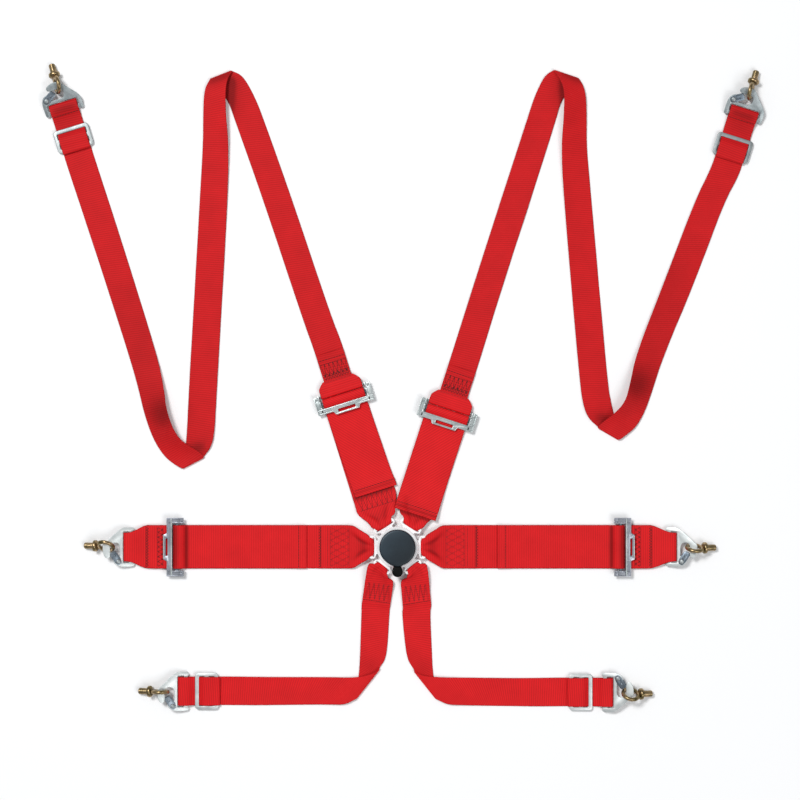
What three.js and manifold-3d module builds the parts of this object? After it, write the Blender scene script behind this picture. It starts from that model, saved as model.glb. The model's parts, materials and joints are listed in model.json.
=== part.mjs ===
// Six-point racing harness with a rotary cam-lock buckle, laid out flat. Millimetres, +Z up.
// The origin is the centre of the buckle's back face, and +Y points towards the shoulder straps.
import * as THREE from "three";
import { mergeVertices } from "three/addons/utils/BufferGeometryUtils.js";
import Module from "manifold-3d";

const wasm = await Module();
wasm.setup();

// Webbing
const WEB = 1.5; // thickness of one ply
const PLY = 1.9; // pitch between stacked plies
const FLOOR = WEB / 2; // mid-height of a ply that lies on the floor
const WIDE = 76; // 3 inch webbing
const NARROW = 50; // 2 inch webbing

// Buckle
const KNOB_R = 31.5;
const HOUSING_R = 36;
const TONGUE_Z = 11; // mid-height of the tongue plates
const TONGUE_T = 3;
const BAR_AT = 46; // buckle centre to the middle of a tongue's bar
const LOOP_R = 4.05; // mid-radius of the webbing round a tongue's bar

// Hook bracket: x from the webbing bar's axis, with the eye of the hook at EYE
const PLATE = 3;
const EYE = 29.5;
const BRACKET_Z = 5.6;
const BRACKET_PITCH = 16;
const PIVOT = [EYE - 6, 25];
const GATE_L = 20;
const GATE_ANGLE = -57;

// Eyebolt
const RING_R = 13.5;
const WIRE_R = 3.5;
const RING_AT = 43.9; // bracket bar axis to the ring's centre
const RING_DRIFT = 0.065; // ring's centre from the lane's middle, per degree of lean
const RING_Z = 17;
const BOLT_PITCH = 17;

// Three-bar slide
const SLIDE_Z = 3.8;
const SLIDE_T = 3;
const SLIDE_L = 41;
const SLIDE_W = 64.5;
const SLIDE_BAR = 7;

// Tilt-lock adjuster: distances along the strap from the handle
const SLIDING_BAR = 13;
const ANCHOR_BAR = 26;
const ANCHOR_Z = 4.6;

const paint = (color, roughness, metalness) => new THREE.MeshStandardMaterial({ color, roughness, metalness });
const webbing = () => paint(0xd02329, 0.85, 0);
const zinc = () => paint(0xb9c0c6, 0.32, 1);
const darkZinc = () => paint(0x5b6672, 0.4, 0.9);
const gold = () => paint(0xa58a4a, 0.35, 0.95);
const slate = () => paint(0x2c3a45, 0.35, 0.6);

const rad = THREE.MathUtils.degToRad;

// ---- solids ----

function toSolid(geometry) {
  const source = geometry.index ? geometry.toNonIndexed() : geometry;
  const bare = new THREE.BufferGeometry().setAttribute("position", source.getAttribute("position"));
  const merged = mergeVertices(bare, 1e-4);
  return new wasm.Manifold(
    new wasm.Mesh({
      numProp: 3,
      vertProperties: new Float32Array(merged.attributes.position.array),
      triVerts: new Uint32Array(merged.index.array),
    }),
  );
}

function fromSolid(solid) {
  const mesh = solid.getMesh();
  const geometry = new THREE.BufferGeometry();
  geometry.setAttribute("position", new THREE.BufferAttribute(mesh.vertProperties, 3));
  geometry.setIndex(new THREE.BufferAttribute(mesh.triVerts, 1));
  const flat = geometry.toNonIndexed();
  flat.computeVertexNormals();
  return flat;
}

const join = (...parts) => fromSolid(parts.map(toSolid).reduce((a, b) => a.add(b)));
const cut = (base, ...tools) => fromSolid(tools.map(toSolid).reduce((a, b) => a.subtract(b), toSolid(base)));

function block(x0, x1, y0, y1, z0, z1) {
  const box = new THREE.BoxGeometry(x1 - x0, y1 - y0, z1 - z0);
  return box.translate((x0 + x1) / 2, (y0 + y1) / 2, (z0 + z1) / 2);
}

// The outline as vectors, turned to run anticlockwise.
function wound(outline) {
  const points = outline.map(([x, y]) => new THREE.Vector2(x, y));
  return THREE.ShapeUtils.isClockWise(points) ? points.reverse() : points;
}

// A plate with the given outline and holes, from z0 to z1.
function slab(outline, z0, z1, holes = []) {
  const shape = new THREE.Shape(wound(outline));
  shape.holes = holes.map((hole) => new THREE.Path(wound(hole)));
  const plate = new THREE.ExtrudeGeometry(shape, { depth: z1 - z0, bevelEnabled: false });
  return plate.translate(0, 0, z0);
}

function circle(x, y, radius, count = 14) {
  const points = [];
  for (let i = 0; i < count; i++) {
    const angle = (i / count) * 2 * Math.PI;
    points.push([x + radius * Math.cos(angle), y + radius * Math.sin(angle)]);
  }
  return points;
}

// A rectangle with chamfered corners.
function chamfered(x0, x1, y0, y1, c) {
  return [
    [x0 + c, y0],
    [x1 - c, y0],
    [x1, y0 + c],
    [x1, y1 - c],
    [x1 - c, y1],
    [x0 + c, y1],
    [x0, y1 - c],
    [x0, y0 + c],
  ];
}

// A turned part about +Z, from a profile of [radius, z] that runs upwards.
function turned(profile, segments = 32) {
  const lathe = new THREE.LatheGeometry(profile.map(([r, z]) => new THREE.Vector2(r, z)), segments);
  return lathe.rotateX(Math.PI / 2);
}

// ---- webbing ----

// A flat strap lofted through stations. Each has a left edge, a right edge and the ply's normal.
function ribbon(stations) {
  const corners = [];
  for (const { l, r, n } of stations) {
    const up = n.clone().multiplyScalar(WEB / 2);
    corners.push([l.clone().sub(up), r.clone().sub(up), r.clone().add(up), l.clone().add(up)]);
  }
  const triangles = [];
  const quad = (a, b, c, d) => triangles.push(a, b, c, a, c, d);
  quad(...corners[0]);
  for (let i = 1; i < corners.length; i++) {
    for (let k = 0; k < 4; k++) {
      const next = (k + 1) % 4;
      quad(corners[i - 1][next], corners[i - 1][k], corners[i][k], corners[i][next]);
    }
  }
  quad(...corners.at(-1).slice().reverse());
  const volume = triangles.reduce((sum, p, i) => {
    return i % 3 ? sum : sum + p.dot(triangles[i + 1].clone().cross(triangles[i + 2]));
  }, 0);
  if (volume < 0) triangles.reverse();
  const geometry = new THREE.BufferGeometry().setFromPoints(triangles);
  geometry.computeVertexNormals();
  return geometry;
}

// A strap's direction on the floor: s runs along it, and positive across is to its left.
class Lane {
  constructor(x, y, heading) {
    this.origin = new THREE.Vector3(x, y, 0);
    this.along = new THREE.Vector3(Math.cos(rad(heading)), Math.sin(rad(heading)), 0);
    this.left = new THREE.Vector3(-this.along.y, this.along.x, 0);
    this.heading = heading;
  }
  at(s, across, z) {
    const point = this.origin.clone().addScaledVector(this.along, s).addScaledVector(this.left, across);
    return point.setZ(z);
  }
}

// Points [s, z] of an arc about a bar, from angle a0 to a1 in degrees, each with the strap's width.
function wrap(s, z, radius, a0, a1, width, steps = 6) {
  const points = [];
  for (let i = 0; i <= steps; i++) {
    const angle = rad(a0 + ((a1 - a0) * i) / steps);
    points.push([s + radius * Math.cos(angle), z + radius * Math.sin(angle), width]);
  }
  return points;
}

// Stations along a side-view path of [s, z, width]. side is -1 once the strap has been folded over.
// laneOf picks the lane of each point, so that a strap can leave a bar at a slight angle.
function thread(path, laneOf, side = 1) {
  return path.map(([s, z, width], i) => {
    const before = path[Math.max(i - 1, 0)];
    const after = path[Math.min(i + 1, path.length - 1)];
    const into = new THREE.Vector2(s - before[0], z - before[1]).normalize();
    const out = new THREE.Vector2(after[0] - s, after[1] - z).normalize();
    const mean = into.clone().add(out).normalize();
    const stretch = side / Math.max(mean.dot(into.lengthSq() ? into : out), 0.7);
    const lane = laneOf(s);
    const n = lane.along.clone().multiplyScalar(-mean.y * stretch).setZ(mean.x * stretch);
    return { l: lane.at(s, (side * width) / 2, z), r: lane.at(s, (-side * width) / 2, z), n };
  });
}

// A station lying flat, from its left and right edge points.
function flat([lx, ly, rx, ry], z, side) {
  return {
    l: new THREE.Vector3(lx, ly, z),
    r: new THREE.Vector3(rx, ry, z),
    n: new THREE.Vector3(0, 0, side),
  };
}

// The strap rolls over a crease, from the floor ply to the ply above. outward points off the roll.
function crease([lx, ly, rx, ry], outward, side) {
  const away = new THREE.Vector3(ry - ly, lx - rx, 0).normalize().multiplyScalar(outward);
  const stations = [];
  for (const angle of [0, 45, 90, 135, 180]) {
    const sin = Math.sin(rad(angle));
    const cos = Math.cos(rad(angle));
    const shift = away.clone().multiplyScalar((PLY / 2) * sin).setZ(FLOOR + (PLY / 2) * (1 - cos));
    stations.push({
      l: new THREE.Vector3(lx, ly, 0).add(shift),
      r: new THREE.Vector3(rx, ry, 0).add(shift),
      n: away.clone().multiplyScalar(-sin * side).setZ(cos * side),
    });
  }
  return stations;
}

// The sewn loop round a tongue's bar: the short under-ply, the bar, then the main ply. The webbing is
// gathered at the bar, and opens out through the [distance, width] pairs of opening.
function tongueLoop(sewn, width, gathered, opening) {
  const ply = (floor, rise) => opening.map(([s, wide]) => [s, floor + rise * (1 - s / 45), wide]);
  return [
    [sewn, FLOOR, width],
    [45, FLOOR, width],
    ...ply(FLOOR, TONGUE_Z - LOOP_R - FLOOR).reverse(),
    ...wrap(0, TONGUE_Z, LOOP_R, -90, -270, gathered, 7),
    ...ply(FLOOR + PLY, TONGUE_Z + LOOP_R - FLOOR - PLY),
    [45, FLOOR + PLY, width],
    [sewn + 1, FLOOR + PLY, width],
    [sewn + 10, FLOOR, width],
  ];
}

// Webbing through a three-bar slide at c, round the bracket's bar at 0 and back through the slide.
function slideThreading(c) {
  const over = SLIDE_Z + SLIDE_T + 0.4 + FLOOR;
  const under = FLOOR + PLY;
  const path = [
    [-c - 12.5, FLOOR],
    [-c - 4.5, over],
    [-c + 4.5, over],
    [-c + 12.5, FLOOR],
    [2, FLOOR],
    ...wrap(8.8, BRACKET_Z, 4.85, -90, 90),
    [0, 10.45],
    [-14, under],
    [-c + 13.3, under],
    [-c + 5.3, over + PLY],
    [-c - 4.5, over + PLY],
    [-c - 13, over],
    ...wrap(-c - 19.8, (over + under) / 2, (over - under) / 2, 90, 270),
    [-c - 14, under],
  ];
  return path.map(([s, z]) => [s, z, NARROW]);
}

// ---- hardware ----

// A tongue: the latch end sits in the buckle, and the slotted end carries the webbing.
function tonguePlate(halfWidth, slotHalf) {
  const half = [
    [15.5, 6],
    [28, 11.8],
    [36.8, 11.8],
    [39, halfWidth - 2],
    [41, halfWidth],
    [46.5, halfWidth],
    [48.6, halfWidth - 2.5],
  ];
  const outline = [...half.map(([x, y]) => [x, -y]), ...half.slice().reverse()];
  const slot = chamfered(40.4, 43.4, -slotHalf, slotHalf, 1);
  return slab(outline, -TONGUE_T / 2, TONGUE_T / 2, [slot, circle(23, 0, 3.4)]);
}

// The snap-hook bracket, with its throat on the side given by side.
function bracketPlate(side) {
  const knuckle = [];
  for (let angle = -105; angle <= -25; angle += 16) {
    knuckle.push([PIVOT[0] - EYE + 9.3 * Math.cos(rad(angle)), PIVOT[1] + 9.3 * Math.sin(rad(angle))]);
  }
  const outline = [
    [-35, -31],
    [-31, -34],
    [-16, -34.5],
    [-9, -31],
    [14, -9.5],
    [20, -5],
    [21.5, 0],
    [21, 8],
    [18, 15],
    [13.5, 19],
    [9.5, 18],
    [8, 13],
    [8.4, 6],
    [8.4, 0],
    [7, -5],
    [3.5, -7.8],
    [0, -8.4],
    [-4, -7.6],
    [-7.3, -4.2],
    [-8.4, 0],
    [-8.6, 12],
    ...knuckle,
    [3, 24],
    [0, 29.5],
    [-6, 33],
    [-16, 34.5],
    [-31, 34],
    [-35, 31],
    [-35, 29],
    [-32.5, 27.5],
    [-32.5, -27.5],
    [-35, -29],
  ];
  const place = ([x, y]) => [x + EYE, y * side];
  const slot = chamfered(-26, -14, -27.5, 27.5, 2).map(place);
  const pin = circle(PIVOT[0], PIVOT[1] * side, 2.7);
  return slab(outline.map(place), -PLATE / 2, PLATE / 2, [slot, pin]);
}

// The spring gate: two cheeks over and under the plate, joined by a web in the throat.
function gateBody() {
  const half = [
    [-6.5, 2.5],
    [-4, 6],
    [2, 7],
    [12, 5.5],
    [GATE_L - 1, 3.5],
    [GATE_L, 1],
  ];
  const cheek = [...half.map(([x, y]) => [x, -y]), ...half.slice().reverse()];
  const pin = circle(0, 0, 2.7);
  return join(slab(cheek, 1.9, 3.1, [pin]), slab(cheek, -3.1, -1.9, [pin]), block(9.8, GATE_L - 1.5, -1, 1, -3, 3));
}

function rivetBody() {
  return turned(
    [
      [0, -4.8],
      [3.2, -4.8],
      [4, -4],
      [4, -3.4],
      [2.3, -3.4],
      [2.3, 3.4],
      [4, 3.4],
      [4, 4],
      [3.2, 4.8],
      [0, 4.8],
    ],
    14,
  );
}

// A forged eyebolt: the shank runs along +X, and the ring's upper half leans to -Y by lean degrees.
function eyeboltBody(lean) {
  const ring = new THREE.TorusGeometry(RING_R, WIRE_R, 8, 22).rotateX(rad(90 + lean));
  const stem = turned(
    [
      [0, 15],
      [7, 15],
      [10, 17],
      [10, 22],
      [5.55, 22],
      [5.55, 38.6],
      [4.4, 40],
      [0, 40],
    ],
    16,
  ).rotateY(Math.PI / 2);
  return join(ring, stem);
}

function slideFrame() {
  const outline = chamfered(-SLIDE_L / 2, SLIDE_L / 2, -SLIDE_W / 2, SLIDE_W / 2, 5);
  const edge = SLIDE_L / 2 - SLIDE_BAR;
  const slots = [-1, 1].map((side) => {
    const reach = [(side * SLIDE_BAR) / 2, side * edge].sort((a, b) => a - b);
    return chamfered(reach[0], reach[1], -26, 26, 1.5);
  });
  return slab(outline, 0, SLIDE_T, slots);
}

// Tilt-lock frame, x from the handle's axis towards the sliding bar. anchorAt is the fixed bar's x.
function adjusterFrame(anchorAt, lip, reach, barZ, farBottom) {
  const top = lip + 2.5;
  const window = block(-7.4, 0, -16, 16, lip - 1, top + 1);
  let frame = join(block(-5, 5, -51, 51, lip, top), block(-11, -4, -22.5, 22.5, lip, top));
  frame = cut(frame, window);
  for (const side of [-1, 1]) {
    const [inner, outer] = [41 * side, 44 * side].sort((a, b) => a - b);
    const [root, rim] = [43 * side, 51 * side].sort((a, b) => a - b);
    frame = join(frame, block(-5, 8, inner, outer, 2.2, top));
    frame = join(frame, block(7, reach, inner, outer, farBottom, top));
    frame = join(frame, block(-5, reach - 2, root, rim, lip, top));
  }
  frame = join(frame, block(anchorAt - 2, anchorAt + 2, -42, 42, ANCHOR_Z - 1.75, ANCHOR_Z + 1.75));
  return cut(frame, block(9.5, 17.5, -60, 60, barZ - 2.4, barZ + 2.4));
}

function slidingBar() {
  return slab(chamfered(-2.5, 2.5, -2, 2, 0.7), -46, 46).rotateX(Math.PI / 2);
}

// ---- assembly ----

// How the gathered webbing opens out from a tongue's bar, as [distance, width].
const LAP_OPENING = [
  [11, 53],
  [29, 70],
];
const SHOULDER_OPENING = [
  [12, 50],
  [27, 64],
];
const LEG_OPENING = [
  [8, 41],
  [18, 49],
];

const harness = new THREE.Group();
harness.name = "racing_harness";

function add(parent, name, geometry, material) {
  const mesh = new THREE.Mesh(geometry, material);
  mesh.name = name;
  parent.add(mesh);
  return mesh;
}

// A group on a lane, at distance s and height z, facing along it.
function mountOn(lane, s, z, across = 0) {
  const group = new THREE.Group();
  group.position.copy(lane.at(s, across, z));
  group.rotation.z = rad(lane.heading);
  harness.add(group);
  return group;
}

function addBuckle() {
  const base = [
    [0, 0],
    [36, 0],
    [37, 1],
    [37, 3],
    [8, 3],
    [5, 5],
    [5, 26.5],
    [0, 26.5],
  ];
  const shell = [
    [31, 3.4],
    [36, 3.4],
    [HOUSING_R, 20],
    [34, 22],
    [6.5, 22],
    [6.5, 20],
    [31, 20],
    [31, 3.4],
  ];
  add(harness, "buckle_base", turned(base), zinc());
  const slots = [0, 58, 122, 180, 232, 308].map((heading) => {
    return block(26, 40, -12.4, 12.4, TONGUE_Z - 2, TONGUE_Z + 2).rotateZ(rad(heading));
  });
  add(harness, "buckle_housing", cut(turned(shell), ...slots), zinc());

  const coil = new THREE.CatmullRomCurve3(
    Array.from({ length: 17 }, (_, i) => {
      const angle = rad(-75 + 20 * i);
      return new THREE.Vector3(8 * Math.cos(angle), 8 * Math.sin(angle), 18.4);
    }),
  );
  const wire = new THREE.Shape(circle(0, 0, 0.6, 5).map(([x, y]) => new THREE.Vector2(x, y)));
  const spring = new THREE.ExtrudeGeometry(wire, { steps: 32, extrudePath: coil });
  add(harness, "buckle_return_spring", spring, darkZinc());

  const lobes = [];
  for (let i = 0; i < 30; i++) {
    const angle = (i / 30) * 2 * Math.PI;
    const radius = i % 6 < 3 ? 13 : 10.5;
    lobes.push([radius * Math.cos(angle), radius * Math.sin(angle)]);
  }
  add(harness, "buckle_cam", slab(lobes, 13.3, 16, [circle(0, 0, 5.6, 18)]), darkZinc());
  const knob = [
    [5.5, 22.4],
    [28, 22.4],
    [KNOB_R, 24],
    [KNOB_R, 31],
    [29, 33.4],
    [22, 34.2],
    [0, 34.6],
    [0, 27],
    [5.5, 27],
    [5.5, 22.4],
  ];
  add(harness, "buckle_knob", turned(knob, 40), slate());
  const ball = new THREE.SphereGeometry(9.4, 18, 10).scale(1, 1, 0.62).translate(0, -41.6, 27.6);
  const neck = block(-6.5, 6.5, -38, -31.95, 24.5, 30.5);
  add(harness, "buckle_thumb_tab", join(ball, neck), slate());
}

function addTongue(name, heading, wide) {
  const plate = wide ? tonguePlate(20, 17.2) : tonguePlate(17, 14.5);
  plate.rotateZ(rad(heading)).translate(0, 0, TONGUE_Z);
  add(harness, name, plate, zinc());
}

// Bracket, rivet, gate and eyebolt at the outer end of a lane whose bracket bar is at s.
function addAnchor(name, lane, s, side, lean) {
  const hook = mountOn(lane, s, BRACKET_Z);
  hook.rotation.order = "ZYX";
  hook.rotation.y = rad(-BRACKET_PITCH);
  add(hook, `${name}_bracket`, bracketPlate(side), zinc());
  add(hook, `${name}_rivet`, rivetBody(), zinc()).position.set(PIVOT[0], PIVOT[1] * side, 0);
  const gate = add(hook, `${name}_gate`, gateBody(), darkZinc());
  gate.position.set(PIVOT[0], PIVOT[1] * side, 0);
  gate.rotation.z = rad(GATE_ANGLE * side);
  const bolt = mountOn(lane, s + RING_AT, RING_Z, -lean * RING_DRIFT);
  bolt.rotation.order = "ZYX";
  bolt.rotation.y = rad(BOLT_PITCH);
  add(bolt, `${name}_eyebolt`, eyeboltBody(lean), gold());
}

// Frame and sliding bar; facing is 1 when the sliding bar is outboard of the handle.
function addAdjuster(name, lane, s, facing) {
  const group = mountOn(lane, s, 0);
  const barZ = facing > 0 ? 4.2 : 6.9;
  const shape = facing > 0 ? [ANCHOR_BAR, 8.5, 29, barZ, 2.2] : [0, 10, 26, barZ, 5.2];
  const frame = add(group, `${name}_adjuster_frame`, adjusterFrame(...shape), zinc());
  const bar = add(group, `${name}_adjuster_bar`, slidingBar(), darkZinc());
  bar.position.set(SLIDING_BAR * facing, 0, barZ);
  if (facing < 0) frame.rotation.z = Math.PI;
}

function addShoulder(name, spec) {
  const tongueLane = new Lane(...spec.bar, spec.tongueHeading);
  const lane = new Lane(...spec.bar, spec.heading);
  const pick = (s) => (s < 12 ? tongueLane : lane);
  const h = spec.handle;
  addTongue(`${name}_tongue`, spec.tongueHeading, true);
  const lower = [
    ...tongueLoop(58, WIDE, 32, SHOULDER_OPENING),
    [h + SLIDING_BAR - 2, FLOOR, WIDE],
    ...wrap(h + 14.5, 5.55, 4.8, -90, 90, WIDE),
    [h + 11, 10.35, WIDE],
    [h + 5, 6.6, WIDE],
    [h - 5, 4.2, WIDE],
    [h - 20, FLOOR + PLY, WIDE],
    ...spec.tail.map(([s, z]) => [s, z, WIDE]),
  ];
  add(harness, `${name}_lower_strap`, ribbon(thread(lower, pick)), webbing());
  addAdjuster(name, lane, h, 1);

  const loop = [
    [h + 49, FLOOR, NARROW],
    [h + 36, FLOOR, WIDE],
    ...wrap(h + ANCHOR_BAR, ANCHOR_Z, 3.85, -90, -270, WIDE, 7),
    [h + 36, FLOOR + 3 * PLY, WIDE],
    [h + 49, FLOOR + 3 * PLY, NARROW],
  ];
  add(harness, `${name}_loop_piece`, ribbon(thread(loop, pick)), webbing());

  const riser = [
    [h + 97, FLOOR + PLY, NARROW],
    [h + 63, FLOOR + PLY, NARROW],
    [h + 50, FLOOR + 2 * PLY, NARROW],
    ...wrap(h + 36, FLOOR + 1.5 * PLY, PLY / 2, 90, 270, NARROW, 4),
    [h + 50, FLOOR + PLY, NARROW],
    [h + 61, FLOOR, NARROW],
    [h + 112, FLOOR, NARROW],
  ];
  const end = new Lane(...spec.bracketBar, spec.endHeading);
  const ending = slideThreading(spec.slideAt);
  const stations = [
    ...thread(riser, pick),
    ...spec.rising.map((edges) => flat(edges, FLOOR, 1)),
    ...crease(spec.topCrease, -1, 1),
    ...spec.falling.map(([z, ...edges]) => flat(edges, z, -1)),
    ...crease(spec.bottomCrease, 1, -1),
    ...spec.outgoing.map(([z, ...edges]) => flat(edges, z, 1)),
    ...thread([[-spec.slideAt - 45, FLOOR, NARROW], ...ending], () => end),
  ];
  add(harness, `${name}_upper_strap`, ribbon(stations), webbing());
  const slide = mountOn(end, -spec.slideAt, SLIDE_Z);
  add(slide, `${name}_slide`, slideFrame(), zinc());
  addAnchor(name, end, 0, 1, spec.lean);
}

function addLap(name, spec) {
  const lane = new Lane(...spec.bar, spec.heading);
  const here = () => lane;
  const a = spec.handle;
  const b = spec.bracketAt;
  addTongue(`${name}_tongue`, spec.heading, true);
  const main = [
    ...tongueLoop(spec.sewn, WIDE, 32, LAP_OPENING),
    [a - 14, FLOOR, WIDE],
    ...wrap(a - 11.7, 5.4, 4.65, -90, 90, WIDE),
    [a - 16, 10.05, WIDE],
    [a - 24, 7, WIDE],
    [a - 45, FLOOR + PLY, WIDE],
    [spec.tailEnd, FLOOR + PLY, WIDE],
  ];
  add(harness, `${name}_main_strap`, ribbon(thread(main, here)), webbing());
  addAdjuster(name, lane, a, -1);
  const endStrap = [
    [a + 15, FLOOR + PLY, WIDE],
    [a + 42, FLOOR + PLY, WIDE],
    [a + 50, FLOOR, 70],
    [b - 2, FLOOR, NARROW],
    ...wrap(b + 8.8, BRACKET_Z, 4.85, -90, 90, NARROW),
    [b - 2, 10.4, NARROW],
    [a + 44, FLOOR + 2 * PLY, WIDE],
    [a + 14, FLOOR + 2 * PLY, WIDE],
    ...wrap(a, ANCHOR_Z, 3.85, 90, 270, WIDE, 7),
    [a + 41, FLOOR, WIDE],
  ];
  add(harness, `${name}_end_strap`, ribbon(thread(endStrap, here)), webbing());
  addAnchor(name, lane, b, spec.gateSide, spec.lean);
}

function addLeg(name, spec) {
  const tongueLane = new Lane(...spec.bar, spec.tongueHeading);
  const lane = new Lane(...spec.bar, spec.heading);
  addTongue(`${name}_tongue`, spec.tongueHeading, false);
  const end = new Lane(...spec.bracketBar, spec.endHeading);
  const loop = tongueLoop(62, NARROW, 27, LEG_OPENING);
  const stations = [
    ...thread(loop, (s) => (s < 12 ? tongueLane : lane)),
    ...spec.falling.map((edges) => flat(edges, FLOOR, 1)),
    ...crease(spec.crease, spec.outward, 1),
    ...spec.outgoing.map(([z, ...edges]) => flat(edges, z, -1)),
    ...thread([[-spec.slideAt - 45, FLOOR, NARROW], ...slideThreading(spec.slideAt)], () => end, -1),
  ];
  add(harness, `${name}_strap`, ribbon(stations), webbing());
  const slide = mountOn(end, -spec.slideAt, SLIDE_Z);
  add(slide, `${name}_slide`, slideFrame(), zinc());
  addAnchor(name, end, 0, 1, spec.lean);
}

const barAt = (heading) => [BAR_AT * Math.cos(rad(heading)), BAR_AT * Math.sin(rad(heading))];

addBuckle();

// Flat stations are edge points [left x, left y, right x, right y], some led by the ply's height.
addShoulder("shoulder_left", {
  bar: barAt(122),
  tongueHeading: 122,
  heading: 107.4,
  handle: 219,
  tail: [
    [76, FLOOR + PLY],
    [64, 4.6],
    [61, 4.6],
  ],
  rising: [
    [-164, 393, -115, 400],
    [-235, 607, -185, 609],
    [-291, 764, -241, 766],
  ],
  topCrease: [-321, 815, -260, 818],
  falling: [
    [2.65, -332, 803, -279, 789],
    [2.65, -338, 782, -293, 771],
    [1.4, -339, 745, -293, 745],
    [FLOOR, -340, 712, -291, 712],
    [FLOOR, -366, 257, -317, 257],
    [FLOOR, -368, 187, -323, 187],
  ],
  bottomCrease: [-377, 138, -332, 167],
  outgoing: [
    [2.65, -393, 141, -356, 168],
    [2.65, -410, 157, -374, 175],
    [1.6, -427, 187, -386, 190],
    [FLOOR, -443, 237, -400, 239],
    [FLOOR, -453, 272, -404, 276],
    [FLOOR, -535, 537, -484, 539],
  ],
  bracketBar: [-581.7, 763.8],
  endHeading: 107,
  slideAt: 51.9,
  lean: 20,
});
addShoulder("shoulder_right", {
  bar: barAt(58),
  tongueHeading: 58,
  heading: 72,
  handle: 190,
  tail: [
    [76, FLOOR + PLY],
    [64, 4.6],
    [45, 4.7],
    [28, 9.6],
    [21, 11.8],
  ],
  rising: [
    [136, 467, 186, 463],
    [181, 607, 232, 604],
    [232, 764, 283, 762],
  ],
  topCrease: [251, 818, 312, 815],
  falling: [
    [2.65, 270, 789, 323, 803],
    [2.65, 284, 771, 329, 782],
    [1.4, 284, 745, 331, 745],
    [FLOOR, 283, 677, 332, 677],
    [FLOOR, 322, 257, 371, 257],
    [FLOOR, 332, 210, 379, 210],
  ],
  bottomCrease: [337, 187, 386, 161],
  outgoing: [
    [2.65, 361, 191, 402, 170],
    [2.65, 375, 206, 417, 190],
    [1.6, 388, 235, 431, 226],
    [FLOOR, 402, 265, 443, 258],
    [FLOOR, 416, 327, 465, 323],
    [FLOOR, 521, 607, 572, 604],
  ],
  bracketBar: [603.4, 752.6],
  endHeading: 72.5,
  slideAt: 57.7,
  lean: -15,
});
addLap("lap_left", {
  bar: barAt(180),
  heading: 180,
  sewn: 89,
  tailEnd: 114,
  handle: 352,
  bracketAt: 418.6,
  gateSide: 1,
  lean: 34,
});
addLap("lap_right", {
  bar: barAt(0),
  heading: 0,
  sewn: 92,
  tailEnd: 130,
  handle: 357,
  bracketAt: 427.6,
  gateSide: -1,
  lean: 20,
});
addLeg("leg_left", {
  bar: barAt(232),
  tongueHeading: 232,
  heading: 262,
  falling: [
    [-15, -115, -63, -115],
    [-18, -180, -65, -184],
    [-20, -198, -67, -226],
  ],
  crease: [-24, -204, -78, -270],
  outward: -1,
  outgoing: [
    [2.65, -43, -223, -97, -275],
    [2.65, -74, -228, -118, -275],
    [FLOOR, -144, -228, -146, -276],
  ],
  bracketBar: [-369.6, -252],
  endHeading: 180,
  slideAt: 36.2,
  lean: 3,
});
addLeg("leg_right", {
  bar: barAt(308),
  tongueHeading: 308,
  heading: 275,
  falling: [
    [57, -115, 8, -115],
    [60, -172, 12, -168],
    [62, -228, 19, -200],
  ],
  crease: [71, -270, 22, -209],
  outward: -1,
  outgoing: [
    [2.65, 92, -275, 42, -226],
    [2.65, 114, -277, 74, -228],
    [FLOOR, 146, -277, 144, -228],
  ],
  bracketBar: [362.6, -254],
  endHeading: 0,
  slideAt: 42.3,
  lean: 34,
});

export default harness;
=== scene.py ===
"""A six-point racing harness laid out flat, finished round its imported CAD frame. Metres, +Z up."""
import json
import math

import bmesh
import bpy
from mathutils import Matrix, Vector, noise
from mathutils.bvhtree import BVHTree


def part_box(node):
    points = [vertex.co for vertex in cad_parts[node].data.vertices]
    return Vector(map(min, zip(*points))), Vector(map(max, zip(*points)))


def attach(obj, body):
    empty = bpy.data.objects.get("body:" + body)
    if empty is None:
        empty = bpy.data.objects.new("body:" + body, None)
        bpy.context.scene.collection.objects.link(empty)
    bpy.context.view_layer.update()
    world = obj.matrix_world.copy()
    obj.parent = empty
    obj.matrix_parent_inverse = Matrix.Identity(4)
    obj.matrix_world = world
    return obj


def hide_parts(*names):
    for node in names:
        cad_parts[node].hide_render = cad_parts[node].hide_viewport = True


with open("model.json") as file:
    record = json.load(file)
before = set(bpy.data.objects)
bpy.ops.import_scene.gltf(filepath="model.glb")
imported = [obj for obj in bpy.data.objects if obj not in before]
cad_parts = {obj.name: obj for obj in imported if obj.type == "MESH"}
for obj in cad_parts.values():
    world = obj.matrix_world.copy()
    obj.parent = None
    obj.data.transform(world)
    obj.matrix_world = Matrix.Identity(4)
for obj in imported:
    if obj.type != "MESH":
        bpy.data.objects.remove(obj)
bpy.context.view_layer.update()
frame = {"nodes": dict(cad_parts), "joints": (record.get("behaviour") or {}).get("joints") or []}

# Driving sizes, in millimetres unless said otherwise.
MM = 0.001  # metres
WEB = 1.5  # webbing thickness
PLY = 1.9  # from one ply's middle to the next, with a little air
FLOOR = WEB / 2  # middle of the ply that lies on the floor
WIDE = 76  # 3 inch webbing
NARROW = 50  # 2 inch webbing
BAR_AT = 46  # from the buckle's middle to a tongue's bar
TONGUE_Z = 11  # height of a tongue's bar
SLIDE_BAR_Z = 3.8  # underside of a three-bar slide
HOOK_Z = 5.6  # middle of a hook plate at the webbing's bar
HOOK_PITCH = -16  # degrees, the eyebolt's end lifted
LOOP_CLOSES = 45  # from a tongue's bar to where the loop's plies meet
HANDLE_TO_ANCHOR = 26  # an adjuster's handle to its fixed bar

JOINTS = {joint["name"]: joint for joint in frame["joints"]}
NODES = frame["nodes"]


# ---- small geometry helpers, in millimetres ----


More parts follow.
